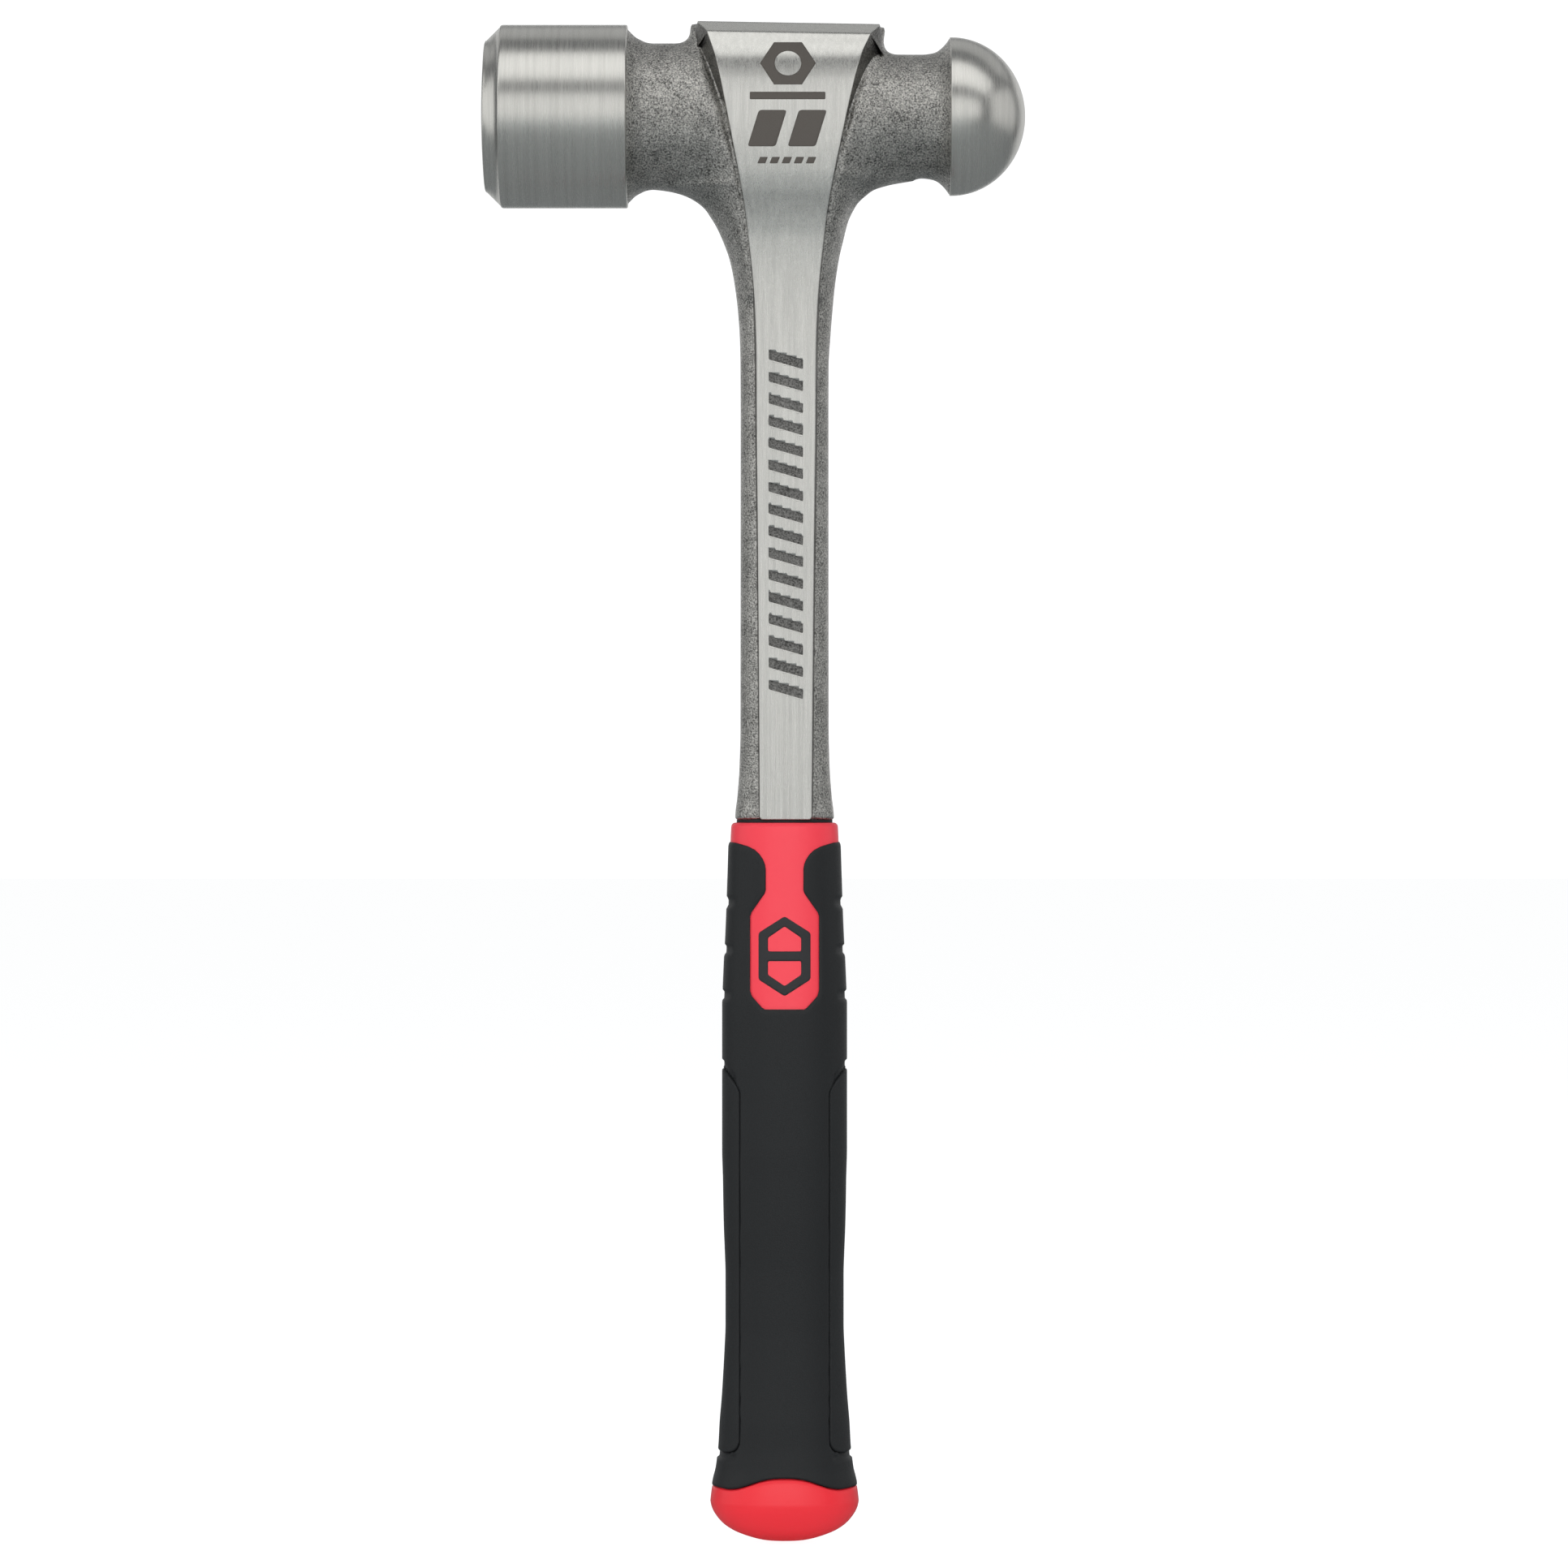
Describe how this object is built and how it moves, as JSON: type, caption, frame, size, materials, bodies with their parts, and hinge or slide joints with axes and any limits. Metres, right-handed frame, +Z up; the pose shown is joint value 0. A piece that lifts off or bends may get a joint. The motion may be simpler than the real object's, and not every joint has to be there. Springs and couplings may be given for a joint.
{
  "type": "ball peen hammer",
  "caption": "Heavy one-piece steel ball peen hammer with a crowned round poll, an elliptical ball, a flat-sided shaft and a black rubber grip with a red collar, window and butt cap.",
  "frame": {"origin": "on the shaft's axis at the middle of the hand grip", "axes": "+Z up the shaft towards the head, +X towards the ball peen, -Y out of the front cheek"},
  "size_m": [0.1452, 0.0488, 0.4059],
  "materials": {
    "forged_steel": "poll, ball and flat panels ground and polished, the rest blasted to a dull grey, clear lacquered",
    "gasket_rubber": "matte",
    "grey_nylon": "as moulded, hidden inside the grip",
    "red_plastic": "satin moulded red",
    "black_rubber": "fine matte texture",
    "pad_rubber": "matte, softer than the overmould round it",
    "badge_plastic": "matte"
  },
  "bodies": {
    "root": {"forged_head_and_shaft": "forged_steel", "shoulder_gasket": "gasket_rubber", "fork_sleeve_front": "grey_nylon", "fork_sleeve_back": "grey_nylon", "grip_core": "red_plastic", "grip_overmould": "black_rubber", "side_pad_poll": "pad_rubber", "side_pad_ball": "pad_rubber", "badge_front": "badge_plastic", "badge_back": "badge_plastic", "butt_cap": "red_plastic"}
  },
  "joints": []
}
